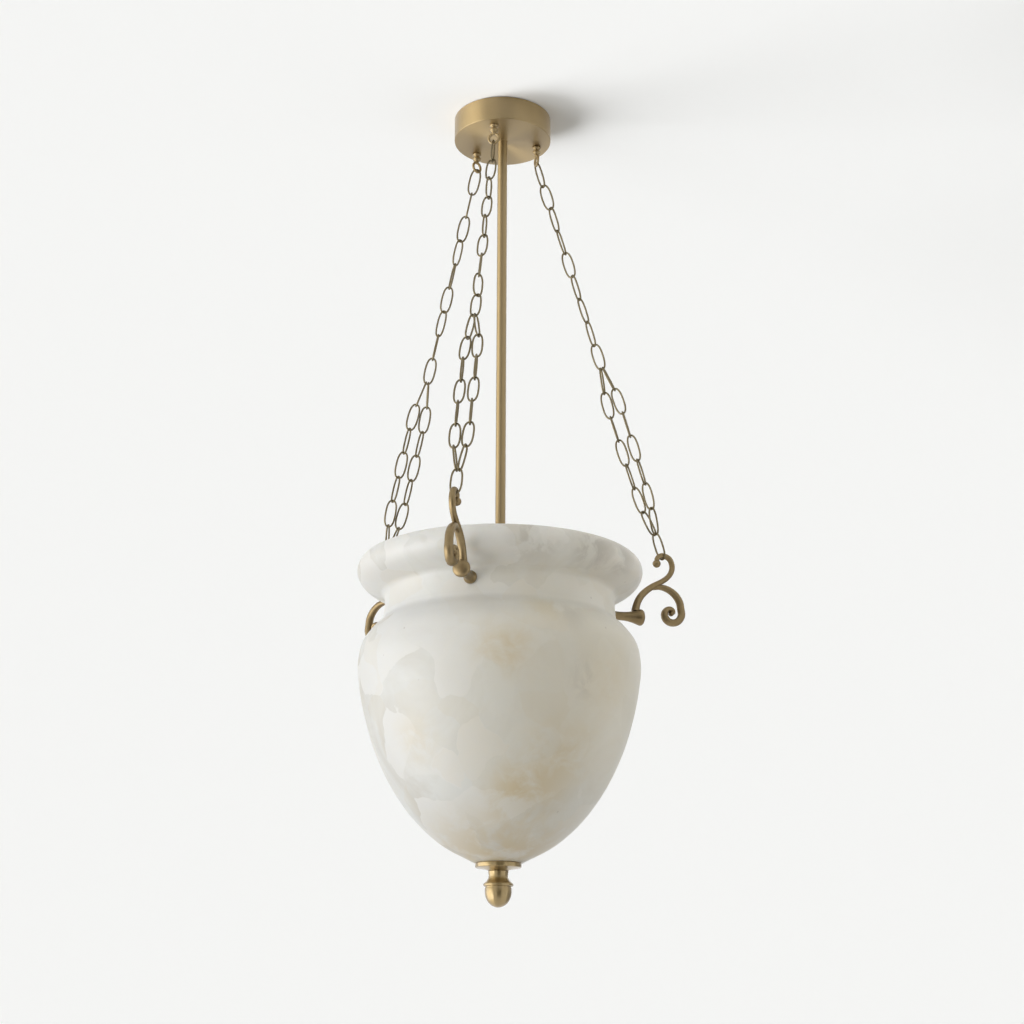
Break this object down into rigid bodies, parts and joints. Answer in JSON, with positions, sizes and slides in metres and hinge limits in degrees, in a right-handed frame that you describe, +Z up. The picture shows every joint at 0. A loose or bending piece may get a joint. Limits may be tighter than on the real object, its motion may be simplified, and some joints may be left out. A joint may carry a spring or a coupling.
{
  "type": "pendant light",
  "caption": "Alabaster bowl pendant: a turned stone urn hung by three brass chains and scrolled brackets from a round canopy, with a centre rod and an acorn finial",
  "frame": {"origin": "The middle of the ceiling plate's upper face, on the rod's axis, in the plane of the ceiling and of the canopy's rim.", "axes": "+Z points up into the ceiling, so the whole light hangs at negative z. -Y points along the front bracket, which faces the viewer of the picture. The other two brackets stand 120 degrees round on each side, and +X points to the viewer's right."},
  "size_m": [0.3988, 0.3941, 0.9682],
  "materials": {
    "satin_brass": "satin lacquered",
    "antique_brass": "antique brown, softly polished",
    "chain_brass": "aged satin",
    "lamp_brass": "brushed",
    "screw_brass": "bright",
    "plate_zinc": "zinc plated",
    "cap_metal": "bright",
    "alabaster": "honed and frosted, slightly translucent",
    "bulb_glass": "frosted inside",
    "holder_plastic": "matte cream",
    "terminal_plastic": "matte white",
    "rubber_pads": "matte black"
  },
  "bodies": {
    "pendant": {"ceiling_plate": "plate_zinc", "plate_nuts": "plate_zinc", "eye_nuts": "plate_zinc", "nipple_washer": "plate_zinc", "nipple_nut": "plate_zinc", "earth_washer": "plate_zinc", "terminal_block": "terminal_plastic", "block_screw": "screw_brass", "earth_screw": "screw_brass", "canopy": "satin_brass", "rod": "satin_brass", "hub_collar": "satin_brass", "eye_bolt_front": "satin_brass", "eye_bolt_right": "satin_brass", "eye_bolt_left": "satin_brass", "rod_nipple": "plate_zinc", "hub_nipple": "plate_zinc", "socket_nipples": "plate_zinc", "lamp_hub": "lamp_brass", "socket_cups": "lamp_brass", "socket_spacers": "lamp_brass", "socket_contacts": "lamp_brass", "lampholder_1": "holder_plastic", "lampholder_2": "holder_plastic", "lampholder_3": "holder_plastic", "bowl": "alabaster", "bracket_front": "antique_brass", "bracket_right": "antique_brass", "bracket_left": "antique_brass", "outer_stud_pads": "rubber_pads", "inner_stud_pads": "rubber_pads", "inner_pad": "rubber_pads", "outer_pad": "rubber_pads", "bracket_studs": "plate_zinc", "stud_washers": "plate_zinc", "stud_nuts": "plate_zinc", "tie_rod": "plate_zinc", "hub_locknut": "plate_zinc", "inner_plate": "plate_zinc", "inner_nut": "plate_zinc", "chain_single_front": "chain_brass", "chain_strand_a_front": "chain_brass", "chain_strand_b_front": "chain_brass", "hook_link_front": "chain_brass", "chain_single_right": "chain_brass", "chain_strand_a_right": "chain_brass", "chain_strand_b_right": "chain_brass", "hook_link_right": "chain_brass", "chain_single_left": "chain_brass", "chain_strand_a_left": "chain_brass", "chain_strand_b_left": "chain_brass", "hook_link_left": "chain_brass"},
    "saucer": {"saucer": "satin_brass"},
    "finial": {"finial": "satin_brass"},
    "bulb_1": {"bulb_cap_1": "cap_metal", "bulb_glass_1": "bulb_glass"},
    "bulb_2": {"bulb_cap_2": "cap_metal", "bulb_glass_2": "bulb_glass"},
    "bulb_3": {"bulb_cap_3": "cap_metal", "bulb_glass_3": "bulb_glass"}
  },
  "joints": [
    {"name": "saucer_drop", "type": "slide", "parent": "pendant", "child": "saucer", "axis": [0, 0, -1], "range_m": [0, 0.0125]},
    {"name": "finial_turn", "type": "hinge", "parent": "saucer", "child": "finial", "pos_m": [0, 0, -0.94], "axis": [0, 0, -1], "range_deg": [0, 3600]},
    {"name": "bulb_1_out", "type": "slide", "parent": "pendant", "child": "bulb_1", "axis": [0, 0.7071, 0.7071], "range_m": [0, 0.026]},
    {"name": "bulb_2_out", "type": "slide", "parent": "pendant", "child": "bulb_2", "axis": [-0.6124, -0.3536, 0.7071], "range_m": [0, 0.026]},
    {"name": "bulb_3_out", "type": "slide", "parent": "pendant", "child": "bulb_3", "axis": [0.6124, -0.3536, 0.7071], "range_m": [0, 0.026]}
  ],
  "couplings": [
    {"joint": "saucer_drop", "follows": "finial_turn", "m_per_rad": 0.00019894}
  ]
}
